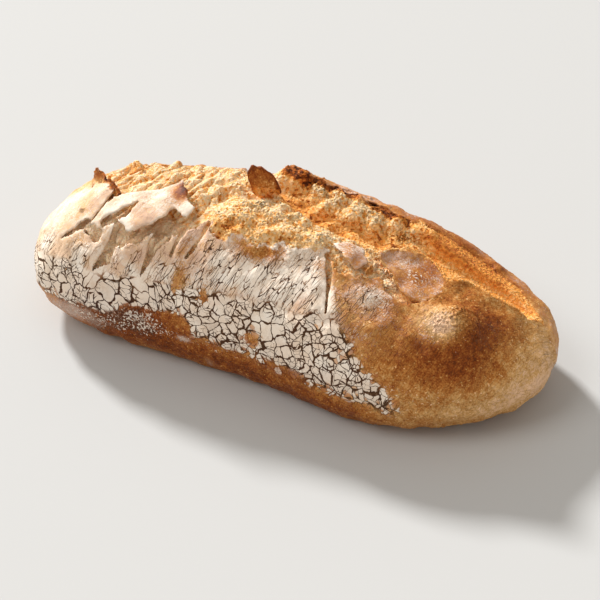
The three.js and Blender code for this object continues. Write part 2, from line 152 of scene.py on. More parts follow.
# Shards of crust that stand up. Each grows from a line across its foot and reaches towards lean, in degrees
# from +X, at a pitch over the skin. Peak is where along that line it reaches farthest, from -1 to 1,
# bluntness how square it ends, bow how far its tip lifts and skew how far it leans sideways. Its bake goes
# from foot to tip, with another at the sides, ragged sides show crumb, and so does a crumb foot.
SHARDS = [
    {"foot": (-107, -6), "lean": 57, "width": 32, "length": 9, "pitch": 72, "peak": -0.55,
     "bluntness": 0.2, "bow": 1, "skew": 0, "flour": 0.2, "foot_bake": 0.1, "bake": 0.66,
     "edge_bake": 0.8, "ragged": 1, "fray": 0.8, "clean_side": 2.5, "crumb_foot": 0.1},
    {"foot": (-18, 10), "lean": 114, "width": 16, "length": 14.5, "pitch": 80, "peak": -0.3,
     "bluntness": 0.75, "bow": -1, "skew": -0.4, "flour": 0.0, "foot_bake": 0.4, "bake": 0.66,
     "edge_bake": 0.84, "ragged": 0, "fray": 0.25, "clean_side": 9, "crumb_foot": 5},
]
SHARD_THICKNESS = 2.6
SHARD_THINNING = 0.4  # share of it that is lost towards the tip
SHARD_ROOT = 9  # how far a shard runs on behind its foot
ROOT_DIP = 9  # how deep the root's end goes below the foot
ROOT_TAPER = 0.8  # and how much narrower it gets on each side for each millimetre
TANGENT_REACH = 3  # step over the skin that gives its slope
SHARD_PAINT = 1.5  # the surface takes a shard's paint this near to it
SHARD_EDGE = 3  # width over which the paint changes at a shard's sides and foot
SHARD_RISE = 0.6  # share of the length over which its bake changes

# Torn surfaces
CRUST = 2.6  # thickness of the crust
THIN_EDGE = 0.5  # share of it that is left at a torn edge
EDGE_TAPER = 6  # and how far from the edge it is whole again
OVERLAP = 1.4  # the crumb reaches this far into the crust's underside
LIP_HOLLOW = 7  # how far back under a torn edge the crumb stays away from the crust
RAGGED = 1.6  # sideways wander of the torn edges
RAGGED_PITCH = 10
FRAYED = 0.4  # and its finer part
FRAYED_PITCH = 3
EDGE_ROWS = {"front": 0, "back": 60, "tears": 120, "flaps": 180}  # where each edge reads the noise
TEAR_FRAY = 0.35  # the tears and flaps wander this much of that
NARROW_TEAR = 2.5  # and a tear less where half its width is under this
CRUMB_LUMPS = 0.8
LUMP_PITCH = 12
CRUMB_GRAIN = 1.5
GRAIN_PITCH = 3.4
FINE_GRAIN = 0.7
FINE_PITCH = 1.9
STRAND_HEIGHT = 3
STRAND_PITCH = (7, 45, 13)
THREADS = 0.6
THREAD_PITCH = (2.2, 16, 5)
STRAND_SLANT = 0.35  # the strands run this far along the loaf for each millimetre across it
STRANDS = (-25, -55)  # the stretched strands lie left of this stretch, and grains to the right
STRAND_GRAIN = 0.5  # share of the finest grains on the strands
CALM = 0.8  # share of the grains missing in the groove, and all over the channel at the split's right end
CALM_WIDTH = 6
CHANNEL = (62, 77)  # the stretch over which the channel begins
CHANNEL_CALM = 0.6  # share of the edges' wander missing there, and half of that for its finer part
SKIN_WAVES = 0.35
WAVE_PITCH = 16
SKIN_GRAIN = 0.12
SKIN_GRAIN_PITCH = 2.5
BUMP_GRAIN = 0.6  # added on the bump
SHARD_WAVES = 0.5
SHARD_WAVE_PITCH = 9
SHARD_FRAY_PITCH = 5
SHARD_CUP = 1.5  # how far a shard's two sides curl up
SHARD_JOIN = 2.0

# Flour on the skin, by the place along the loaf and the angle round it in degrees: 0 at the front and 90
# on top. It lies between two angles, and spots add to it or take away: place, angle, reach of each, amount.
FLOUR_LOW = [
    (-150, -8), (-120, 0), (-90, 3), (-60, 2), (-30, 4), (0, 2), (30, 0), (60, 0), (85, -4), (97, -3),
]
FLOUR_HIGH = [
    (-150, 95), (20, 95), (28, 80), (32, 62), (39, 44), (50, 30), (60, 18), (76, 8), (85, 0), (95, -6),
]
FLOUR_LOW_FADE = 24
FLOUR_HIGH_FADE = 22
FLOUR_END = (97, 81)
FLOUR_SPOTS = [
    # Bare patches low on the front
    (-67, 8, 12, 8, -1), (-50, 8, 9, 7, -1), (-42, 8, 6, 6, -0.7), (0, 12, 8, 5, -0.8), (20, 3, 20, 4, -0.3),
    # Bare and thin patches farther up, along the split
    (-45, 33, 6, 13, -0.75), (-30, 27, 5, 9, -0.75), (-5, 55, 14, 7, -1), (27, 57, 5, 5, -0.6),
    (-42, 52, 8, 7, -0.5), (-85, 50, 25, 14, -0.35), (-20, 63, 40, 8, -0.3),
    # Dust on the brown shoulder, and on the bump dust that also lightens it as a painted highlight
    (50, 46, 13, 12, 0.28), (58, 54, 17, 10, 0.26), (68, 38, 22, 22, 0.22), (80, 74, 6, 6, 0.1),
    (98, 46, 9, 9, 0.25), (91, 52, 9, 9, 0.2),
    # Dust on the right end and at its foot, and a clean far rim
    (125, 50, 14, 20, 0.15), (118, -30, 14, 5, 0.5), (95, 130, 45, 25, -0.35),
]
HAZE_SPOTS = [  # thin dust
    (-115, -8, 30, 14, 0.8), (-62, -6, 24, 10, 0.2), (-40, -1, 6, 3, 0.7), (-27, -16, 4, 8, 0.6),
]
SPECK_SPOTS = [
    (-95, -6, 32, 9, 0.46), (-66, 6, 16, 10, 0.5), (-25, 0, 30, 5, 0.3), (70, 6, 30, 9, 0.34),
    (74, 78, 12, 11, 0.36), (98, 47, 12, 11, 0.28),
]
# The flour lies in plates below this angle
PLATES_HIGH = [(-150, 30), (20, 32), (38, 36), (50, 32), (60, 24), (76, 16), (90, 6)]
PLATES_FADE = 14
DOME_FLOUR = 0.6  # share of it on the dome at the left end, and the angles and places where that sets in
DOME_ANGLES = (30, 50)
DOME_STRETCH = (-90, -110)
BACK_FLOUR = 0.35  # and on the back
BACK_ANGLES = (100, 120)
FLAP_SPOTS = [(-58, -8, 5, 7, 0.7), (76, -14, 11, 9, 0.13), (80, -2, 9, 6, 0.15)]  # scorched places in plan
SCORCH_CLEARING = 2  # how much flour a scorch takes away
FLAP_RIM = 1.6  # width of a flap's floured rim
GULLY_DUST = 0.75  # flour on the crumb under the flaps at the left
GULLY_STRETCH = (-40, -55)
GULLY_ACROSS = (-18, -26)
TEAR_DUST = 0.3  # share of it in the tears and this near to them
TEAR_DUST_REACH = 2

# How dark the skin is baked, with spots in the same way, and the crumb, with spots by place in plan
BAKE = 0.47
BAKE_SPOTS = [
    # The left flank, darkened low down as painted shade, and the foot of the front
    (-85, 5, 40, 20, 0.27), (-112, -8, 34, 18, 0.3), (-68, 3, 22, 14, 0.22), (10, -12, 90, 16, 0.3),
    # The brown shoulder, with pale spots on the bump as a painted highlight where its face would catch the
    # light
    (103, 30, 26, 20, 0.32), (80, 60, 30, 20, 0.1), (116, 46, 8, 11, 0.14), (120, 64, 16, 16, 0.25),
    (98, 45, 8, 8, -0.42), (91, 51, 11, 11, -0.36), (103, 53, 7, 7, -0.2),
    # Pale ends, and a pale foot at the right
    (-140, 60, 40, 120, -0.3), (150, 30, 20, 130, -0.34), (112, -4, 42, 18, -0.26),
    # The far rim and the back
    (95, 132, 45, 18, 0.14), (0, 160, 170, 50, 0.14),
]
CRUMB_BAKE = 0.08
CRUMB_SPOTS = [
    (0, -14, 34, 12, 0.06), (-25, -25, 13, 5, 0.3), (8, -22, 12, 3, 0.2), (-62, -8, 6, 6, 0.3),
    (-103, 20, 5, 5, 0.3),
]
GROOVE_BAKE = 0.38  # added along the groove, right of the strands
GROOVE_STRETCH = (-25, -5)
RIM_BAKE = 0.7  # added on the ear's torn face, by the share of its climb, over this stretch
RIM_CLIMB = (0.48, 0.73)
RIM_START = (-23, -17)
RIM_END = (62, 50)
RISER_BAKE = 0.2  # and on the low step that carries on from it
RISER_CLIMB = (0, 2 / 3)
RISER_END = (125, 105)
CHANNEL_BAKE = 0.33  # and all over the channel
# Painted shade: the crumb is baked darker in its hollows, by how low it lies
HOLLOW_SHADE = 0.05  # added for each millimetre that the crumb lies low
SKIN_EDGE = 0.8  # the skin's colour reaches this far down a torn edge
FLAP_EDGE = 1.8  # and this far down the edge of a flap
SKIN_EDGE_FADE = 0.8
GOLDEN_EDGE = [(45, -8), (58, 1.3), (139, 1.3)]  # and the crumb's this far over the split's front edge
GOLDEN_WIDTH = 2.5
GOLDEN_REACH = 2  # how near to a torn edge that has to be
GIRTH_RADIUS = 62  # turns the angle round the loaf into a length
END_RADIUS = 0.3  # share of it that is left at the loaf's tips
FLOURED_RIM = 2.2  # width of the thick flour along the split's front edge
FLOURED_RIM_END = (32, 28)
FLOURED_RIM_ANGLES = (90, 80)
PLAIN_DOME = 0.75  # share of the cracks missing on the dome at the left end
PLAIN_DOME_ANGLES = (38, 53)
PLAIN_DOME_STRETCH = (-85, -100)
PLAIN_FLAP = 0.7  # and on the flaps
PLAIN_BACK = 0.9  # and on the back
PLAIN_BACK_ANGLES = (95, 115)
PLAIN_EDGE = 5  # the flour has no cracks this near to a torn edge

# Meshing
PITCH = 0.6
MARGIN = 4  # room round the loaf, and round a shard
MOST_TRIANGLES = 196000
JOIN = 0.8  # radius of the fillet where crust and crumb meet
SKIN_NEAR = 4  # the skin's roughness is worked out this near to it
CRUMB_NEAR = 6  # and the crumb's
LEAST_SLOPE = 0.004  # keeps distances finite deep inside
LOWEST_ANGLE = -120  # angles round the loaf count on from the back below this
FAR = 1e3  # stands for a distance beyond any on the loaf

# Patterns in the material, as millimetres across, and widths of cracks as shares of that, none if negative
PATCH_PITCH = 9  # more and less flour
DUST_PITCH = 0.9
FLECK_PITCH = 1.3
FLOUR_PITCH = 6  # lighter and darker flour
THIN_PITCH = 17  # stretches of thinner flour
BLOTCH_PITCH = 3.2  # darker crust
SPECKLE_PITCH = 0.9
PALE_DOT_PITCH = 1.4
PLATE_PITCH = 6.2
PLATE_CRACKS = (0.035, 0.1, 0.13)  # narrow, wide, and wide where the flour is thin
LARGE_PLATES = {"x": -80, "fade": (36, 8), "scale": 0.66}  # near this place
CHIP_PITCH = 2.9
CHIP_CRACKS = (-0.05, 0.03, 0.1)
CHIPPED = (0, 70)  # the plates are more broken up towards the right, over this stretch
STREAK_PITCH = 2
STREAK_CRACKS = (-0.04, 0.085)
STREAK_SQUEEZE = 0.25
STREAK_LEAN = 0.4
RIDGE_PITCH = 2.8
RIDGE_CRACKS = (0.002, 0.018)
CRUMB_PITCH = 1.7
TOAST_PITCH = 7
TIP_PITCH = 2.4
TIP_BAKE = (0.38, 0.14)  # of the crumb's tips, and of those in the channel
FRAY_PITCH = 1.2  # where the crust ends on the crumb

# Colours, in sRGB from 0 to 255. Those of crust and crumb go from the palest bake to the darkest.
CRUST_COLOURS = [(252, 207, 166), (224, 174, 108), (188, 120, 52), (142, 68, 10), (84, 36, 6)]
CRUMB_COLOURS = [(255, 224, 182), (255, 199, 130), (240, 160, 72), (188, 102, 38), (96, 46, 18)]
CRUMB_GLOW = 0.2  # share of the light that spreads inside the crumb
GLOW_REACH = (1.6, 1.0, 0.6)  # how far, for red, green and blue, in millimetres
CRUMB_DUST_COLOUR = (250, 222, 188)
FLOUR_COLOURS = [(232, 204, 176), (249, 234, 216), (255, 248, 238)]  # from the dullest to the whitest
DUST_COLOUR = (242, 210, 190)  # of thin flour
FAINT_DUST_COLOUR = (226, 164, 108)  # and of flour so thin that the crust tints it
# Brown crust in the cracks, darkened further as painted shade for the shadow that the plates cast into them
CRACK_AND_SHADE_COLOUR = (58, 33, 15)
CRUMB_ROUGHNESS = 0.85
SPECULAR = 0.2

# Camera and light
CAMERA_TARGET = (10.3, -12.8, 35)
CAMERA_DISTANCE = 773.2
CAMERA_AZIMUTH = 22  # from the front, towards the right end
CAMERA_ELEVATION = 40
CAMERA_LENS = 85
CAMERA_SENSOR = 36
KEY = {"azimuth": 145, "elevation": 34, "energy": 4.1, "spread": 8}  # degrees, azimuth from +X
FILL = {"azimuth": 215, "elevation": 50, "energy": 0.8, "spread": 30}
SKY = 0.5
SKY_COLOUR = (1, 0.94, 0.87, 1)
FLOOR_COLOUR = (0.55, 0.55, 0.54, 1)
FLOOR_ROUGHNESS = 0.8
FLOOR_REACH = 4  # in metres

MM = 0.001


# Curves, blends and noise

def along(pairs, x):
    """Smooth curve through (x, value) pairs, level beyond the first and the last."""
    places, values = np.array(pairs, np.float32).T
    last = len(places) - 1
    order = np.arange(last + 1)
    before = np.maximum(order - 1, 0)
    after = np.minimum(order + 1, last)
    slopes = (values[after] - values[before]) / (places[after] - places[before])
    x = np.clip(np.asarray(x, np.float32), places[0], places[last])
    i = np.clip(np.searchsorted(places, x, side="right") - 1, 0, last - 1)
    span = places[i + 1] - places[i]
    t = (x - places[i]) / span
    level = values[i] * (1 + 2 * t) * (1 - t) ** 2 + values[i + 1] * t ** 2 * (3 - 2 * t)
    return level + span * t * (1 - t) * (slopes[i] * (1 - t) - slopes[i + 1] * t)


def ease(t):
    t = np.clip(t, 0, 1)
    return t * t * (3 - 2 * t)


def rise(value, start, end):
    """0 at the start and 1 at the end, smooth between. The start may be the larger."""
    return ease((value - start) / (end - start))


def bell(distance):
    return np.exp(-np.square(distance))


def lerp(a, b, t):
    return a + (b - a) * t


def join(a, b, power):
    return (np.abs(a) ** power + np.abs(b) ** power) ** (1 / power)


def soft_min(a, b, radius):
    blend = np.maximum(radius - np.abs(a - b), 0) / radius
    return np.minimum(a, b) - blend * blend * radius / 4


def between_cells(block, place):
    """Values of a block at places between its cells. The block repeats beyond its ends."""
    low = [np.floor(p) for p in place]
    share = [p - f for p, f in zip(place, low)]
    low = [f.astype(np.int32) % size for f, size in zip(low, block.shape)]
    high = [(f + 1) % size for f, size in zip(low, block.shape)]
    total = np.zeros(place[0].shape, np.float32)
    for corner in range(8):
        ends = [(corner >> axis) & 1 for axis in range(3)]
        spot = tuple((high if end else low)[axis] for axis, end in enumerate(ends))
        weight = np.ones(total.shape, np.float32)
        for axis, end in enumerate(ends):
            weight = weight * (share[axis] if end else 1 - share[axis])
        total += weight * block[spot]
    return total


class Fractal:
    """Fractal noise of unit spread that repeats far apart, along no axis of the loaf."""

    SIZE = 128
    COARSEST = 8  # waves across the block
    FINEST = 40

    def __init__(self, seed, steepness):
        draw = np.random.default_rng(seed)
        wave = np.fft.fftfreq(self.SIZE) * self.SIZE
        length = np.sqrt(wave[:, None, None] ** 2 + wave[None, :, None] ** 2 + wave[None, None, :] ** 2)
        kept = (length >= self.COARSEST) & (length <= self.FINEST)
        weight = np.where(kept, np.maximum(length, 1) ** -steepness, 0)
        block = np.fft.ifftn(np.fft.fftn(draw.standard_normal((self.SIZE,) * 3)) * weight).real
        self.block = (block / block.std()).astype(np.float32)
        self.turn = np.linalg.qr(draw.standard_normal((3, 3)))[0].astype(np.float32)

    def __call__(self, x, y, z, pitch):
        """Noise at points, with lumps about pitch across: one number, or one for each axis."""
        cells = self.SIZE / self.COARSEST / np.broadcast_to(np.asarray(pitch, np.float32), 3)
        x, y, z = np.broadcast_arrays(x * cells[0], y * cells[1], z * cells[2])
        return between_cells(self.block, [row[0] * x + row[1] * y + row[2] * z for row in self.turn])


rough = Fractal(seed=11, steepness=2.4)
smooth = Fractal(seed=29, steepness=4.0)


# The form of the loaf

def plan_ratio(x, y):
    """1 on the loaf's outline in plan and less inside."""
    return join(x / HALF_LENGTH, (y - along(AXIS_SHIFT, x)) / along(HALF_WIDTH, x), PLAN_POWER)


def bare_ratio(x, y, z):
    """1 on the skin of the bare loaf, before the split and the swellings, and less inside."""
    plan = plan_ratio(x, y)
    over = z - WIDEST_LEVEL
    crown = join(plan, np.maximum(over, 0) / along(CROWN_HEIGHT, x), CROWN_POWER)
    undercut = join(plan, np.minimum(over, 0) / UNDERCUT_DEPTH, UNDERCUT_POWER)
    return np.where(over > 0, crown, undercut).astype(np.float32)


def crown_point(x, y):
    """The point of the bare loaf's top over a place in plan."""
    crown = np.maximum(0, 1 - plan_ratio(x, y) ** CROWN_POWER) ** (1 / CROWN_POWER)
    return np.array([x, y, WIDEST_LEVEL + along(CROWN_HEIGHT, x) * crown], np.float32)


def opening(x):
    """How open the split is, from 0 past its ends to 1."""
    return ease((x - SPLIT_START) / SPLIT_FADE) * ease((SPLIT_END - x) / SPLIT_FADE)


def channel(x):
    """0 along most of the split and 1 in the clean channel at its right end."""
    return rise(x, *CHANNEL)


def upper_share(z):
    """0 up to the widest level and 1 over most of the top."""
    return rise(z, WIDEST_LEVEL, UPPER_LEVEL)


def wander(x, y, row):
    """Sideways wander of a torn edge at a place in plan. Each edge reads a row of its own."""
    row = np.float32(row)
    coarse = RAGGED * smooth(x, y, row, RAGGED_PITCH) * (1 - CHANNEL_CALM * channel(x))
    return coarse + FRAYED * rough(x, y, row, FRAYED_PITCH) * (1 - 0.5 * CHANNEL_CALM * channel(x))


def split_edges(x, y):
    front = along(FRONT_EDGE, x) + wander(x, y, EDGE_ROWS["front"])
    return front, along(BACK_EDGE, x) + wander(x, y, EDGE_ROWS["back"])


def to_stretch(x, y, a, b):
    """Nearest place on the stretch from a to b, as a share of it, and the distance to it."""
    run = (b[0] - a[0]) ** 2 + (b[1] - a[1]) ** 2
    t = np.clip(((x - a[0]) * (b[0] - a[0]) + (y - a[1]) * (b[1] - a[1])) / run, 0, 1)
    return t, np.hypot(x - lerp(a[0], b[0], t), y - lerp(a[1], b[1], t))


def tear_gap(x, y):
    """Distance inside the tears, positive where the crust is torn away, and how deep they go there."""
    gap = np.full(np.broadcast(x, y).shape, -FAR, np.float32)
    depth = np.zeros_like(gap)
    fray = TEAR_FRAY * wander(x, y, EDGE_ROWS["tears"])
    for tear in TEARS:
        stretches = zip(tear["points"], tear["points"][1:], tear["widths"], tear["widths"][1:])
        for a, b, wide_a, wide_b in stretches:
            t, apart = to_stretch(x, y, a, b)
            half = lerp(wide_a, wide_b, t) / 2
            inside = half - apart + fray * np.minimum(1, half / NARROW_TEAR)
            depth = np.where(inside > gap, tear["depth"], depth)
            gap = np.maximum(gap, inside)
    return gap, depth


def inside_flap(flap, x, y):
    """Distance inside a flap's ragged outline in plan, negative outside, and how far the flap is lifted."""
    outline = flap["outline"]
    nearest = np.full(np.broadcast(x, y).shape, FAR, np.float32)
    inside = np.zeros(nearest.shape, bool)
    weights = np.zeros_like(nearest)
    lifts = np.zeros_like(nearest)
    for a, b in zip(outline, outline[1:] + outline[:1]):
        nearest = np.minimum(nearest, to_stretch(x, y, a, b)[1])
        slope = (b[0] - a[0]) / (b[1] - a[1]) if b[1] != a[1] else 0
        inside ^= ((a[1] > y) != (b[1] > y)) & (x < a[0] + (y - a[1]) * slope)
        weight = 1 / (1 + (x - a[0]) ** 2 + (y - a[1]) ** 2) ** 1.5
        weights += weight
        lifts += weight * a[2]
    fray = TEAR_FRAY * wander(x, y, EDGE_ROWS["flaps"])
    return np.where(inside, nearest, -nearest) + fray, lifts / weights


def on_flap(x, y):
    """Distance inside the nearest flap's outline in plan, negative outside."""
    return np.max([inside_flap(flap, x, y)[0] for flap in FLAPS], axis=0)


def in_groove(x, y):
    """1 along the middle of the groove and less to its sides."""
    return bell((y - along(GROOVE_LINE, x)) / along(GROOVE_WIDTH, x))


def ear_climb(x, y):
    """0 at the foot of the ear's torn face and 1 at its top."""
    return (y - along(EAR_FOOT, x)) / along(EAR_RISE, x)


def plan_form(x, y):
    """What depends on the place in plan alone.

    How far inside a tear it is, how far out of the crust, flaps and all, the level over the bare loaf of the
    crust's outside, the crust's thickness and the level of the crumb.
    """
    front, back = split_edges(x, y)
    ends = np.minimum(x - SPLIT_START, SPLIT_END - x)
    split = np.minimum(np.minimum(y - front, back - y), ends)
    tears, tear_depth = tear_gap(x, y)
    gap = np.maximum(split, tears)

    open_here = opening(x)
    ear = along(BACK_EAR, x)
    lip = along(FRONT_LIP, x) * np.exp(-np.maximum(front - y, 0) / along(FRONT_REACH, x))
    far_lip = ear * np.exp(-np.maximum(y - back, 0) / along(BACK_REACH, x))
    skin = open_here * np.where(2 * y < front + back, lip, far_lip)
    swell = sum(height * bell(np.hypot(x - sx, y - sy) / radius) for sx, sy, radius, height in SWELLINGS)
    skin = skin + swell

    groove = along(GROOVE_DEPTH, x) * in_groove(x, y)
    from_mound = np.hypot((x - MOUND["x"]) / MOUND["length"], (y - MOUND["y"]) / MOUND["width"])
    mound = MOUND["height"] * bell(from_mound ** 2)
    ear_face = ease(ear_climb(x, y))
    torn = swell + open_here * (mound + lerp(-EDGE_STEP - groove, ear - BACK_STEP, ear_face))
    torn = np.where(tears > split, -tear_depth, torn)
    crumb = lerp(torn, skin - CRUST + OVERLAP, ease(-gap / LIP_HOLLOW))

    bare_of_crust = gap
    lifted = np.zeros_like(gap)
    for flap in FLAPS:
        inside, lift = inside_flap(flap, x, y)
        lifted = np.maximum(lifted, lift * ease(inside / FLAP_FADE + 1))
        bare_of_crust = np.minimum(bare_of_crust, -inside)
    thickness = CRUST * lerp(THIN_EDGE, 1, ease(-bare_of_crust / EDGE_TAPER))
    thickness = np.where((gap > 0) & (bare_of_crust < 0), FLAP_THICKNESS, thickness)
    return gap, bare_of_crust, skin + lifted, thickness, crumb


class Shard:
    """A thin plate of crust, bent down into the loaf behind its foot."""

    def __init__(self, facts):
        self.facts = facts
        foot = facts["foot"]
        lean = math.radians(facts["lean"])
        pitch = math.radians(facts["pitch"])
        self.foot = crown_point(*foot)
        self.wide = self.skin_tangent(foot, lean - math.pi / 2)
        out = np.cross(self.wide, self.skin_tangent(foot, lean))
        out /= np.linalg.norm(out)
        flat = np.cross(out, self.wide)
        self.ahead = flat * math.cos(pitch) + out * math.sin(pitch)
        self.face = out * math.cos(pitch) - flat * math.sin(pitch)

    @staticmethod
    def skin_tangent(foot, angle):
        step = TANGENT_REACH * np.array([math.cos(angle), math.sin(angle)])
        tangent = crown_point(*(foot + step)) - crown_point(*(foot - step))
        return tangent / np.linalg.norm(tangent)

    def local(self, points):
        """Places across, ahead of the foot, and over the middle of the plate."""
        offset = points - self.foot
        ahead = offset @ self.ahead
        across = offset @ self.wide - self.facts["skew"] * np.maximum(ahead, 0)
        bow = self.facts["bow"] * (np.maximum(ahead, 0) / self.facts["length"]) ** 2
        dip = ROOT_DIP * (np.minimum(ahead, 0) / SHARD_ROOT) ** 2
        cup = SHARD_CUP * np.clip(2 * across / self.facts["width"], -1, 1) ** 2
        waves = SHARD_WAVES * smooth(*points.T, SHARD_WAVE_PITCH)
        return across, ahead, offset @ self.face - bow + dip - cup - waves

    def inset(self, points):
        """Distance inside the plate's ragged sides."""
        across, ahead = self.local(points)[:2]
        half = self.facts["width"] / 2 - ROOT_TAPER * np.maximum(-ahead, 0)
        place = np.clip(2 * across / self.facts["width"], -1, 1)
        peak = self.facts["peak"]
        share = np.where(place < peak, (place + 1) / (peak + 1), (1 - place) / (1 - peak))
        blunt = self.facts["bluntness"]
        reach = self.facts["length"] * lerp(share, np.sin(share * math.pi / 2), blunt) ** (1 - blunt)
        fray = self.facts["fray"] * rough(*points.T, SHARD_FRAY_PITCH)
        return np.minimum(half - np.abs(across), reach - ahead) - fray

    def distance(self, points):
        ahead, over = self.local(points)[1:]
        thinning = SHARD_THINNING * np.clip(ahead / self.facts["length"], 0, 1) ** 2
        past_face = np.abs(over) - SHARD_THICKNESS * (1 - thinning) / 2
        return np.maximum(np.maximum(past_face, -self.inset(points)), -ahead - SHARD_ROOT)

    def box(self):
        reach = self.facts["length"] + self.facts["width"] / 2 + MARGIN
        return self.foot - reach, self.foot + reach


def billow(noise):
    """Rounded lumps with sharp creases between them, about level overall, from noise of unit spread."""
    return np.tanh(1.2 * np.abs(noise)) - 0.6


def crumb_roughness(x, y, z):
    """Rise of the torn crumb: stretched strands to the left, lumps and grains to the right."""
    along_strands = x - STRAND_SLANT * y
    strands = STRAND_HEIGHT * billow(smooth(along_strands, y, z, STRAND_PITCH))
    threads = THREADS * billow(rough(along_strands, y, z, THREAD_PITCH))
    fine = FINE_GRAIN * billow(rough(x, y, z, FINE_PITCH))
    grains = CRUMB_GRAIN * billow(rough(x, y, z, GRAIN_PITCH)) + fine
    calm = CALM * np.maximum(channel(x), bell((y - along(GROOVE_LINE, x)) / CALM_WIDTH))
    stretched = rise(x, *STRANDS)
    shredded = strands + threads + STRAND_GRAIN * fine
    lumps = CRUMB_LUMPS * smooth(x, y, z, LUMP_PITCH) * (1 - CALM * channel(x))
    return lumps + lerp(grains * (1 - calm), shredded, stretched)


def skin_roughness(x, y, z):
    bump_x, bump_y, bump_radius = BUMP[:3]
    grain = SKIN_GRAIN + BUMP_GRAIN * bell(np.hypot(x - bump_x, y - bump_y) / bump_radius)
    return SKIN_WAVES * smooth(x, y, z, WAVE_PITCH) + grain * rough(x, y, z, SKIN_GRAIN_PITCH)


def roughen(distance, axes, near, roughness):
    """Lowers a field by a roughness where the mask says that its surface is near."""
    i, j, k = np.nonzero(near)
    distance[i, j, k] -= roughness(axes[0][i], axes[1][j], axes[2][k])


def loaf_field(axes, shards):
    """Distances over a grid to the loaf's surface and to the outside of its skin, negative inside."""
    x = axes[0][:, None, None]
    y = axes[1][None, :, None]
    z = axes[2][None, None, :]
    ratio = bare_ratio(x, y, z)
    slope = np.sqrt(sum(np.square(g) for g in np.gradient(ratio, PITCH)))
    bare = (ratio - 1) / np.maximum(slope, LEAST_SLOPE)
    levels = plan_form(x[:, :, 0], y[:, :, 0])
    gap, bare_of_crust, skin, thickness, crumb = (level[:, :, None] for level in levels)
    upper = upper_share(z)

    outside = bare - skin * upper
    roughen(outside, axes, np.abs(outside) < SKIN_NEAR, skin_roughness)
    crust = np.maximum(np.maximum(outside, -outside - thickness), np.where(upper > 0, bare_of_crust, -FAR))
    core = bare - lerp(-CRUST + OVERLAP, crumb, upper)
    bared = (np.abs(core) < CRUMB_NEAR) & (gap > -LIP_HOLLOW) & (upper > 0)
    roughen(core, axes, bared, crumb_roughness)
    field = soft_min(crust, core, JOIN)
    for shard in shards:
        add_shard(field, axes, shard)
    return np.maximum(field, -z), outside


def add_shard(field, axes, shard):
    low, high = shard.box()
    window = tuple(slice(*np.searchsorted(axis, (a, b))) for axis, a, b in zip(axes, low, high))
    grid = np.meshgrid(*(axis[cut] for axis, cut in zip(axes, window)), indexing="ij")
    points = np.stack([g.ravel() for g in grid], 1)
    plate = shard.distance(points).reshape(grid[0].shape)
    field[window] = soft_min(field[window], plate, SHARD_JOIN)


# Meshing

def surface_of(field, axes):
    """Points and quads of the field's zero level, one point in each grid cell that it crosses."""
    inside = field < 0
    corners = [(i, j, k) for i in (0, 1) for j in (0, 1) for k in (0, 1)]
    shape = np.array(field.shape) - 1
    count = np.zeros(shape, np.uint8)
    for corner in corners:
        count += inside[tuple(slice(c, c + n) for c, n in zip(corner, shape))]
    crossed = (count > 0) & (count < len(corners))
    cells = np.argwhere(crossed)
    number = np.full(shape, -1, np.int32)
    number[crossed] = np.arange(len(cells))

    total = np.zeros((len(cells), 3), np.float32)
    hits = np.zeros((len(cells), 1), np.float32)
    for axis in range(3):
        step = np.eye(3, dtype=int)[axis]
        for corner in (np.array(c) for c in corners if c[axis] == 0):
            start = field[tuple((cells + corner).T)]
            end = field[tuple((cells + corner + step).T)]
            cut = (start < 0) != (end < 0)
            share = np.where(cut, start / np.where(cut, start - end, 1), 0)
            total += np.where(cut[:, None], corner + share[:, None] * step, 0)
            hits += cut[:, None]
    origin = np.array([axis[0] for axis in axes])
    points = origin + PITCH * (cells + total / hits)

    quads = []
    for axis in range(3):
        ahead, aside = np.eye(3, dtype=int)[[(axis + 1) % 3, (axis + 2) % 3]]
        first = [slice(1, -1)] * 3
        second = list(first)
        first[axis] = slice(0, -1)
        second[axis] = slice(1, None)
        edges = np.argwhere(inside[tuple(first)] != inside[tuple(second)]) + ahead + aside
        ring = [edges - ahead - aside, edges - aside, edges, edges - ahead]
        quad = np.stack([number[tuple(cell.T)] for cell in ring], 1)
        outward = inside[tuple(edges.T)]
        quads.append(np.where(outward[:, None], quad, quad[:, ::-1]))
    return points.astype(np.float32), np.concatenate(quads)


def largest_piece(points, quads):
    """Leaves out scraps that hang free of the loaf."""
    label = np.arange(len(points))
    while True:
        lowest = label[quads].min(1)
        lower = label.copy()
        for corner in range(4):
            np.minimum.at(lower, quads[:, corner], lowest)
        lower = lower[lower]
        if np.array_equal(lower, label):
            break
        label = lower
    kept = label == np.bincount(label).argmax()
    renumber = np.cumsum(kept) - 1
    return points[kept], renumber[quads[kept[quads[:, 0]]]]


def mesh_from(name, points, faces):
    mesh = bpy.data.meshes.new(name)
    mesh.vertices.add(len(points))
    mesh.vertices.foreach_set("co", np.ascontiguousarray(points, np.float32).ravel())
    mesh.loops.add(faces.size)
    mesh.loops.foreach_set("vertex_index", np.ascontiguousarray(faces, np.int32).ravel())
    mesh.polygons.add(len(faces))
    mesh.polygons.foreach_set("loop_start", np.arange(0, faces.size, faces.shape[1], dtype=np.int32))
    mesh.update(calc_edges=True)
    return mesh


def placed(name, data):
    """A new object in the scene."""
    item = bpy.data.objects.new(name, data)
    bpy.context.scene.collection.objects.link(item)
    return item


def thinned(mesh):
    """The mesh with its flatter parts in fewer, larger triangles."""
    holder = placed("thinning", mesh)
    thin = holder.modifiers.new("thin", "DECIMATE")
    thin.ratio = min(1, MOST_TRIANGLES / (2 * len(mesh.polygons)))
    depsgraph = bpy.context.evaluated_depsgraph_get()
    result = bpy.data.meshes.new_from_object(holder.evaluated_get(depsgraph))
    bpy.data.objects.remove(holder)
    bpy.data.meshes.remove(mesh)
    return result


def grid_axes():
    low, high = (np.array(corner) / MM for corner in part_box("loaf"))
    return [np.arange(a - MARGIN, b + MARGIN, PITCH, dtype=np.float32) for a, b in zip(low, high)]


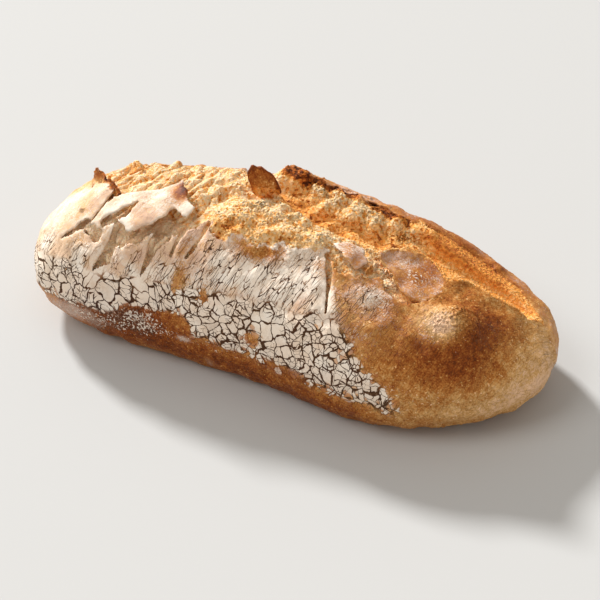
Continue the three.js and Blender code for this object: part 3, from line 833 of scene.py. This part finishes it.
def loaf_mesh(shards):
    axes = grid_axes()
    field, outside = loaf_field(axes, shards)
    points, quads = largest_piece(*surface_of(field, axes))
    points[:, 2] = np.maximum(points[:, 2], 0)
    mesh = thinned(mesh_from("loaf", points * MM, quads))
    mesh.shade_smooth()
    kept = np.empty(3 * len(mesh.vertices), np.float32)
    mesh.vertices.foreach_get("co", kept)
    note(mesh, surface_facts(kept.reshape(-1, 3) / MM, outside, axes, shards))
    mesh.materials.append(bread_material())
    return mesh


# What the surface shows, point by point

def around(x, y, z):
    """Angle round the loaf in degrees: 0 at the front, 90 on top, 180 at the back and negative below."""
    angle = np.degrees(np.arctan2(z - WIDEST_LEVEL, along(AXIS_SHIFT, x) - y))
    return np.where(angle < LOWEST_ANGLE, angle + 360, angle)


def fullness(x):
    """Width of the loaf's outline in plan as a share of the fullest: 0 at the tips."""
    return np.maximum(1 - np.abs(x / HALF_LENGTH) ** PLAN_POWER, 0) ** (1 / PLAN_POWER)


def spots(places, x, across):
    total = np.zeros(x.shape, np.float32)
    for spot_x, spot_across, length, width, amount in places:
        total += amount * bell(np.hypot((x - spot_x) / length, (across - spot_across) / width))
    return total


def flour_on(x, angle):
    above = ease((angle - along(FLOUR_LOW, x)) / FLOUR_LOW_FADE + 0.5)
    below = ease((along(FLOUR_HIGH, x) - angle) / FLOUR_HIGH_FADE + 0.5)
    dome = rise(angle, *DOME_ANGLES) * rise(x, *DOME_STRETCH)
    front = above * below * lerp(1, DOME_FLOUR, dome) * rise(x, *FLOUR_END)
    back = BACK_FLOUR * rise(angle, *BACK_ANGLES)
    return np.clip(np.maximum(front, back) + spots(FLOUR_SPOTS, x, angle), 0, 1)


def crumb_bake(x, y, z):
    climb = ear_climb(x, y)
    rim_end = rise(x, *RIM_END)
    rim = RIM_BAKE * rise(climb, *RIM_CLIMB) * rise(x, *RIM_START) * rim_end
    riser = RISER_BAKE * rise(climb, *RISER_CLIMB) * (1 - rim_end) * rise(x, *RISER_END)
    groove = GROOVE_BAKE * in_groove(x, y) * rise(x, *GROOVE_STRETCH) * (1 - channel(x))
    # Toasted spots, plus painted shade: darker where the crumb's roughness lies low
    toast_and_hollow_shade = spots(CRUMB_SPOTS, x, y) - HOLLOW_SHADE * crumb_roughness(x, y, z)
    return np.clip(CRUMB_BAKE + rim + riser + groove + toast_and_hollow_shade + CHANNEL_BAKE * channel(x), 0, 1)


def torn_share(x, y, upper, depth, bare_of_crust):
    """1 where crumb shows and 0 on crust."""
    past_edge = y - split_edges(x, y)[0]
    golden = ease(past_edge + along(GOLDEN_EDGE, x)) * ease(GOLDEN_WIDTH - past_edge)
    golden = golden * ease(GOLDEN_REACH + bare_of_crust)
    skin_edge = np.where(on_flap(x, y) > 0, FLAP_EDGE, SKIN_EDGE)
    under_skin = rise(depth, skin_edge, skin_edge + SKIN_EDGE_FADE)
    return upper * np.maximum(np.maximum(golden, ease(bare_of_crust + 0.5)), under_skin)


def floured_rim(x, angle, bare_of_crust):
    """Thick flour along the split's front edge."""
    near_edge = rise(bare_of_crust, -FLOURED_RIM, 0)
    return near_edge * rise(x, *FLOURED_RIM_END) * rise(angle, *FLOURED_RIM_ANGLES)


def fallen_flour(x, y):
    """Flour on the crumb: under the flaps at the left, and in the tears."""
    gully = rise(x, *GULLY_STRETCH) * rise(y, *GULLY_ACROSS)
    tears = rise(tear_gap(x, y)[0], -TEAR_DUST_REACH, 0)
    return GULLY_DUST * np.maximum(gully, TEAR_DUST * tears)


def cracked_share(x, angle, upper, bare_of_crust):
    """How many of the skin's cracks show: few on the dome and the back, and none along a torn edge."""
    dome = rise(angle, *PLAIN_DOME_ANGLES) * rise(x, *PLAIN_DOME_STRETCH)
    back = rise(angle, *PLAIN_BACK_ANGLES)
    from_edge = lerp(1, ease(-bare_of_crust / PLAIN_EDGE), upper)
    return (1 - PLAIN_DOME * dome) * (1 - PLAIN_BACK * back) * from_edge


def cover(facts, share, **values):
    """Paints new values over the facts, by a share at each point."""
    for name, value in values.items():
        facts[name] = lerp(facts[name], value, share)


def paint_flaps(facts, x, y):
    """Flour on the flaps, with that along their rims, and their bake, with scorched places."""
    scorched = spots(FLAP_SPOTS, x, y)
    for flap in FLAPS:
        inside = inside_flap(flap, x, y)[0]
        on = ease(inside + 0.5)
        dusted = lerp(flap["flour"], flap["rim_flour"], ease(1 - inside / FLAP_RIM))
        dusted = np.maximum(dusted - SCORCH_CLEARING * scorched, 0)
        cover(facts, on, flour=dusted, bake=flap["bake"] + scorched)
        cover(facts, PLAIN_FLAP * on, cracked=0)


def paint_shard(facts, points, shard):
    """A shard's bake from foot to tip, with crumb on its underside, its ragged sides and its foot."""
    traits = shard.facts
    across, ahead, over = shard.local(points)
    on = ease(SHARD_PAINT - shard.distance(points)) * ease(ahead / SHARD_EDGE + 1)
    edge = ease(1 - shard.inset(points) / SHARD_EDGE) * ease(across / SHARD_EDGE + traits["clean_side"])
    bake = lerp(traits["foot_bake"], traits["bake"], ease(ahead / traits["length"] / SHARD_RISE))
    bake = lerp(bake, traits["edge_bake"], edge)
    under = ease(0.5 - 2 * over / SHARD_THICKNESS)
    root = ease(1 - ahead / traits["crumb_foot"])
    torn = np.maximum(np.maximum(under, root), edge * traits["ragged"])
    cover(facts, on, torn=torn, flour=traits["flour"] * (1 - edge), bake=bake, cracked=0)


def surface_facts(points, outside, axes, shards):
    """What the material reads at each point: how torn, floured, baked and cracked the surface is."""
    x, y, z = points.T
    angle = around(x, y, z)
    upper = upper_share(z)
    depth = -between_cells(outside, [(p - axis[0]) / PITCH for p, axis in zip((x, y, z), axes)])
    bare_of_crust = plan_form(x, y)[1]
    torn = torn_share(x, y, upper, depth, bare_of_crust)
    facts = {
        "torn": torn,
        "flour": np.maximum(flour_on(x, angle), floured_rim(x, angle, bare_of_crust) * upper),
        "bake": np.clip(BAKE + spots(BAKE_SPOTS, x, angle), 0, 1),
        "plates": ease((along(PLATES_HIGH, x) - angle) / PLATES_FADE + 0.5),
        "haze": spots(HAZE_SPOTS, x, angle),
        "cracked": cracked_share(x, angle, upper, bare_of_crust),
        "girth": np.radians(angle) * GIRTH_RADIUS * lerp(END_RADIUS, 1, fullness(x)),
    }
    paint_flaps(facts, x, y)
    cover(facts, torn, bake=crumb_bake(x, y, z), flour=fallen_flour(x, y))
    for shard in shards:
        paint_shard(facts, points, shard)
    facts["specks"] = spots(SPECK_SPOTS, x, angle) * (1 - facts["torn"])
    return facts


def note(mesh, facts):
    for name, values in facts.items():
        layer = mesh.attributes.new(name, "FLOAT", "POINT")
        layer.data.foreach_set("value", np.ascontiguousarray(values, np.float32))


# Material

def linear(colour):
    """Linear colour of an sRGB one, 0 to 255."""
    share = np.array(colour) / 255
    return (*np.where(share <= 0.04045, share / 12.92, ((share + 0.055) / 1.055) ** 2.4), 1)


class Signal:
    """What comes out of a node, for sums and products with others and with plain numbers."""

    def __init__(self, graph, socket):
        self.graph = graph
        self.socket = socket

    def __add__(self, other):
        return self.graph.math("ADD", self, other)

    def __sub__(self, other):
        return self.graph.math("SUBTRACT", self, other)

    def __rsub__(self, other):
        return self.graph.math("SUBTRACT", other, self)

    def __mul__(self, other):
        return self.graph.math("MULTIPLY", self, other)


class Graph:
    """Builds a material's nodes. Signals go in and come out, and plain values set a socket's own."""

    def __init__(self, name):
        self.material = bpy.data.materials.new(name)
        self.material.use_nodes = True
        self.tree = self.material.node_tree

    def feed(self, node, inputs):
        for name, value in inputs.items():
            if isinstance(value, Signal):
                self.tree.links.new(value.socket, node.inputs[name])
            else:
                node.inputs[name].default_value = value

    def node(self, kind, inputs, **settings):
        node = self.tree.nodes.new(kind)
        for name, value in settings.items():
            setattr(node, name, value)
        self.feed(node, inputs)
        return node

    def make(self, kind, inputs, output=0, **settings):
        return Signal(self, self.node(kind, inputs, **settings).outputs[output])

    def attribute(self, name):
        return self.make("ShaderNodeAttribute", {}, "Fac", attribute_name=name)

    def math(self, operation, *values):
        return self.make("ShaderNodeMath", dict(enumerate(values)), operation=operation)

    def vector(self, operation, a, b):
        return self.make("ShaderNodeVectorMath", {0: a, 1: b}, operation=operation)

    def most(self, a, b):
        return self.math("MAXIMUM", a, b)

    def band(self, value, low, high):
        """0 before low and 1 past high, smooth between. Low may be the larger."""
        inputs = {"Value": value, "From Min": low, "From Max": high}
        return self.make("ShaderNodeMapRange", inputs, interpolation_type="SMOOTHSTEP")

    def line(self, distance, half_width):
        """1 on a line and 0 beside it, with no line where the width is negative."""
        half_width = self.most(half_width, 1e-4)
        return self.band(distance, half_width, half_width * 0.6)

    def level(self, share, a, b):
        return self.make("ShaderNodeMix", {0: share, 2: a, 3: b})

    def blend(self, share, a, b):
        return self.make("ShaderNodeMix", {0: share, 6: a, 7: b}, 2, data_type="RGBA")

    def ramp(self, share, colours):
        """Colour from evenly spaced sRGB ones."""
        node = self.node("ShaderNodeValToRGB", {0: share})
        points = node.color_ramp.elements
        for _ in colours[2:]:
            points.new(0.5)
        for i, colour in enumerate(colours):
            points[i].position = i / (len(colours) - 1)
            points[i].color = linear(colour)
        return Signal(self, node.outputs[0])

    def along_loaf(self, place):
        return self.make("ShaderNodeSeparateXYZ", {0: place})

    def noise(self, place, pitch, detail, output="Fac"):
        inputs = {"Vector": place, "Scale": 1 / pitch, "Detail": detail}
        return self.make("ShaderNodeTexNoise", inputs, output)

    def centred(self, place, pitch, detail):
        """Noise above and below zero."""
        return self.noise(place, pitch, detail) - 0.5

    def cell_edge(self, place, pitch):
        """Distance to the nearest edge of flat cells about pitch across, as a share of the pitch."""
        inputs = {"Vector": place, "Scale": 1 / pitch}
        return self.make("ShaderNodeTexVoronoi", inputs, "Distance", voronoi_dimensions="2D",
                         feature="DISTANCE_TO_EDGE")

    def shifted(self, place, noise_pitch, amount):
        """Places pushed about by noise."""
        push = self.vector("SUBTRACT", self.noise(place, noise_pitch, 2, "Color"), (0.5, 0.5, 0.5))
        inputs = {0: push, 1: (2 * amount,) * 3, 2: place}
        return self.make("ShaderNodeVectorMath", inputs, operation="MULTIPLY_ADD")


def unroll(graph, place, squeeze, lean):
    """Places on the unrolled skin: along the loaf and up the girth, which is squeezed and leans over."""
    girth = graph.attribute("girth")
    across = graph.along_loaf(place) - girth * lean
    return graph.make("ShaderNodeCombineXYZ", {0: across, 1: girth * squeeze})


def cells(graph, flat, pitch):
    """Flat cells about pitch across: distance to the nearest edge, and a chance and a tilt for each cell."""
    inputs = {"Vector": flat, "Scale": 1 / pitch}
    voronoi = graph.node("ShaderNodeTexVoronoi", inputs, voronoi_dimensions="2D")
    centre, colour = (Signal(graph, voronoi.outputs[name]) for name in ("Position", "Color"))
    offset = graph.vector("SUBTRACT", flat, centre)
    slope = graph.vector("SUBTRACT", colour, (0.5, 0.5, 0.5))
    tilt = graph.make("ShaderNodeVectorMath", {0: offset, 1: slope}, "Value", operation="DOT_PRODUCT")
    chance = graph.make("ShaderNodeSeparateColor", {0: colour})
    return graph.cell_edge(flat, pitch), chance, tilt


def plates(graph, place, flour, patches):
    """Plates of dried flour on the belt: which of them are left, the cracks round them and their tilt."""
    along_loaf = graph.along_loaf(place)
    flat = graph.vector("SUBTRACT", unroll(graph, place, 1, 0), (LARGE_PLATES["x"], 0, 0))
    apart = graph.math("ABSOLUTE", along_loaf - LARGE_PLATES["x"])
    larger = graph.level(graph.band(apart, *LARGE_PLATES["fade"]), 1, LARGE_PLATES["scale"])
    flat = graph.make("ShaderNodeVectorMath", {0: flat, 3: larger}, operation="SCALE")
    moved = graph.shifted(graph.shifted(flat, 12, 5), 1.6, 0.6)
    edge, chance, tilt = cells(graph, moved, PLATE_PITCH)
    chip_edge, chip_chance, chip_tilt = cells(graph, moved, CHIP_PITCH)

    thinning = graph.band(flour + patches * 0.8, 1.0, 0.5)
    uneven = graph.band(graph.noise(flat, 5, 2), 0.4, 0.6)
    narrow, wide, widest = PLATE_CRACKS
    coarse = graph.line(edge, graph.level(uneven, narrow, graph.level(thinning, wide, widest)))
    broken = graph.noise(flat, 13, 1) + graph.band(along_loaf, *CHIPPED) * 0.2 + chance * 0.2
    broken = graph.most(graph.band(broken, 0.45, 0.72), thinning)
    none, narrow, wide = CHIP_CRACKS
    fine = graph.line(chip_edge, graph.level(broken, none, graph.level(uneven, narrow, wide)))

    luck = graph.level(0.6, chance, chip_chance) - 0.5
    amount = flour * (luck * 1.2 + patches * 0.8) + flour
    return graph.band(amount, 0.37, 0.49), graph.most(coarse, fine), chip_tilt * broken + tilt


def streaks(graph, place):
    """Cracks that run up the skin where it stretched, in two sizes, and the ridges that they part."""
    moved = unroll(graph, place, STREAK_SQUEEZE, STREAK_LEAN)
    moved = graph.shifted(graph.shifted(moved, 9, 1.5), 2, 0.4)
    broken = graph.band(graph.noise(moved, 3, 2), 0.34, 0.58)
    coarse = graph.line(graph.cell_edge(moved, STREAK_PITCH), graph.level(broken, *STREAK_CRACKS))
    ridges = graph.noise(moved, RIDGE_PITCH, 2)
    fine = graph.line(graph.math("ABSOLUTE", ridges - 0.5), graph.level(broken, *RIDGE_CRACKS))
    density = graph.band(graph.noise(moved, 11, 1), 0.25, 0.45)
    return graph.most(coarse, fine * 0.7) * density, ridges


def flour_film(graph, flour, patches, dust):
    """Even flour, patchy where it is thin."""
    film = graph.band(flour + patches * 0.8 + dust * 0.9, 0.05, 0.8)
    return film * graph.band(flour, 0.02, 0.2)


def flour_haze(graph, patches, dust):
    """Faint dust that lies over cracks and all."""
    return graph.band(graph.attribute("haze") + patches * 0.5 + dust * 0.7, 0.2, 0.9) * 0.6


def flour_specks(graph, place, cracks):
    """Single specks, fewer over cracks."""
    flecks = graph.attribute("specks") + graph.centred(place, FLECK_PITCH, 3) * 1.7
    return graph.band(flecks, 0.44, 0.54) * graph.level(cracks, 0.85, 0.2)


def baked_colour(graph, place, patches):
    """Crust by its bake, mottled and dotted."""
    speckle = graph.centred(place, SPECKLE_PITCH, 2)
    blotches = graph.centred(place, BLOTCH_PITCH, 2)
    pale_dots = graph.band(graph.noise(place, PALE_DOT_PITCH, 1), 0.66, 0.74)
    mottle = (patches + blotches) * 0.5 + speckle * 0.7 - pale_dots * 0.34
    return graph.ramp(graph.attribute("bake") + mottle, CRUST_COLOURS)


def flour_colour(graph, place, covered):
    """Flour by how thickly it covers: thin dust takes on the colour of the crust."""
    thick = graph.ramp(graph.noise(place, FLOUR_PITCH, 5), FLOUR_COLOURS)
    thin = graph.blend(graph.band(covered, 0, 0.45), linear(FAINT_DUST_COLOUR), linear(DUST_COLOUR))
    return graph.blend(graph.band(covered, 0.1, 0.8), thin, thick)


def crust_layer(graph, place):
    """Colour, roughness and relief of the skin: baked crust, dusted and caked with cracked flour, with
    painted shade in the cracks.
    """
    flour = graph.attribute("flour")
    cracked = graph.attribute("cracked")
    patches = graph.centred(place, PATCH_PITCH, 4)
    dust = graph.centred(place, DUST_PITCH, 3)
    belt = graph.band(graph.attribute("plates") + patches * 1.2, 0.35, 0.65)
    left, plate_cracks, tilts = plates(graph, place, flour, patches)
    stretched, ridges = streaks(graph, place)
    cracks = graph.level(belt, stretched, plate_cracks) * cracked
    whole = 1 - cracks
    film = flour_film(graph, flour, patches, dust)
    caked = graph.level(belt, film, graph.most(left, film * 0.4))
    caked = graph.most(caked * whole, flour_haze(graph, patches, dust))
    caked = graph.most(caked, flour_specks(graph, place, cracks))

    # The cracks take a dark colour: crust that shows there, darkened as painted shade
    cracks_and_shade = cracks * graph.band(flour, 0.2, 0.6) * graph.level(belt, 0.95, 0.92)
    baked = graph.blend(cracks_and_shade, baked_colour(graph, place, patches), linear(CRACK_AND_SHADE_COLOUR))
    thick = graph.band(graph.noise(place, THIN_PITCH, 3) + dust * 0.3, 0.36, 0.62)
    covered = caked * graph.level(graph.most(thick, belt * 0.7), 0.5, 1.0)
    colour = graph.blend(covered, baked, flour_colour(graph, place, covered))
    slabs = left * (tilts * 0.3 + 0.3)
    relief = graph.level(belt, film * ridges * cracked, slabs) + whole * 0.4 + dust * 0.1
    return colour, graph.level(caked, 0.55, 0.95), relief


def crumb_layer(graph, place):
    """Colour and relief of the torn crumb, dusted with flour in places, with painted shade in the hollows of
    its grain.
    """
    grain = graph.band(graph.noise(place, CRUMB_PITCH, 3), 0.34, 0.66) - 0.5
    patches = graph.centred(place, TOAST_PITCH, 3)
    in_channel = graph.band(graph.along_loaf(place), *CHANNEL)
    tips = graph.band(graph.noise(place, TIP_PITCH, 3), 0.52, 0.64) * graph.level(in_channel, *TIP_BAKE)
    # Painted shade: darker where the grain's relief lies low and paler on its tops, besides toasted patches
    # and tips
    toast_and_grain_shade = graph.attribute("bake") + grain * -0.22 + patches * 0.25 + tips
    crumb = graph.ramp(toast_and_grain_shade, CRUMB_COLOURS)
    return graph.blend(graph.attribute("flour"), crumb, linear(CRUMB_DUST_COLOUR)), grain * 0.8


def bread_material():
    graph = Graph("bread")
    place = graph.make("ShaderNodeTexCoord", {}, "Object")
    place = graph.make("ShaderNodeVectorMath", {0: place, 3: 1 / MM}, operation="SCALE")
    fray = graph.centred(place, FRAY_PITCH, 2)
    torn = graph.band(graph.attribute("torn") + fray * 0.5, 0.4, 0.6)
    skin_colour, skin_roughness, skin_relief = crust_layer(graph, place)
    crumb_colour, crumb_relief = crumb_layer(graph, place)
    relief = graph.level(torn, skin_relief, crumb_relief)
    graph.feed(graph.tree.nodes["Principled BSDF"], {
        "Base Color": graph.blend(torn, skin_colour, crumb_colour),
        "Roughness": graph.level(torn, skin_roughness, CRUMB_ROUGHNESS),
        "Normal": graph.make("ShaderNodeBump", {"Height": relief, "Distance": MM, "Strength": 1}),
        "Subsurface Weight": torn * CRUMB_GLOW,
        "Subsurface Radius": GLOW_REACH,
        "Subsurface Scale": MM,
        "Specular IOR Level": SPECULAR,
    })
    return graph.material


# Scene

def stage():
    corners = FLOOR_REACH * np.array([(-1, -1, 0), (1, -1, 0), (1, 1, 0), (-1, 1, 0)])
    mesh = mesh_from("floor", corners, np.array([[0, 1, 2, 3]]))
    floor = placed("floor", mesh)
    material = bpy.data.materials.new("pale floor")
    material.use_nodes = True
    shader = material.node_tree.nodes["Principled BSDF"]
    shader.inputs["Base Color"].default_value = FLOOR_COLOUR
    shader.inputs["Roughness"].default_value = FLOOR_ROUGHNESS
    mesh.materials.append(material)


def direction(azimuth, elevation):
    a, e = math.radians(azimuth), math.radians(elevation)
    return Vector((math.cos(a) * math.cos(e), math.sin(a) * math.cos(e), math.sin(e)))


def lamp(name, facts):
    sun = bpy.data.lights.new(name, "SUN")
    sun.energy = facts["energy"]
    sun.angle = math.radians(facts["spread"])
    back = direction(facts["azimuth"], facts["elevation"])
    placed(name, sun).rotation_euler = back.to_track_quat("Z", "Y").to_euler()


def light():
    scene = bpy.context.scene
    world = bpy.data.worlds.new("soft fill")
    world.use_nodes = True
    world.node_tree.nodes["Background"].inputs["Color"].default_value = SKY_COLOUR
    world.node_tree.nodes["Background"].inputs["Strength"].default_value = SKY
    scene.world = world
    lamp("key", KEY)
    lamp("fill", FILL)
    scene.view_settings.view_transform = "Standard"


def camera():
    data = bpy.data.cameras.new("camera")
    data.lens = CAMERA_LENS
    data.sensor_width = CAMERA_SENSOR
    eye = placed("camera", data)
    back = direction(CAMERA_AZIMUTH - 90, CAMERA_ELEVATION)
    eye.location = (Vector(CAMERA_TARGET) + CAMERA_DISTANCE * back) * MM
    eye.rotation_euler = back.to_track_quat("Z", "Y").to_euler()
    bpy.context.scene.camera = eye


camera()
light()
stage()
shards = [Shard(facts) for facts in SHARDS]
mesh = loaf_mesh(shards)
loaf = placed("bread", mesh)
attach(loaf, "root")
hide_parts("loaf")
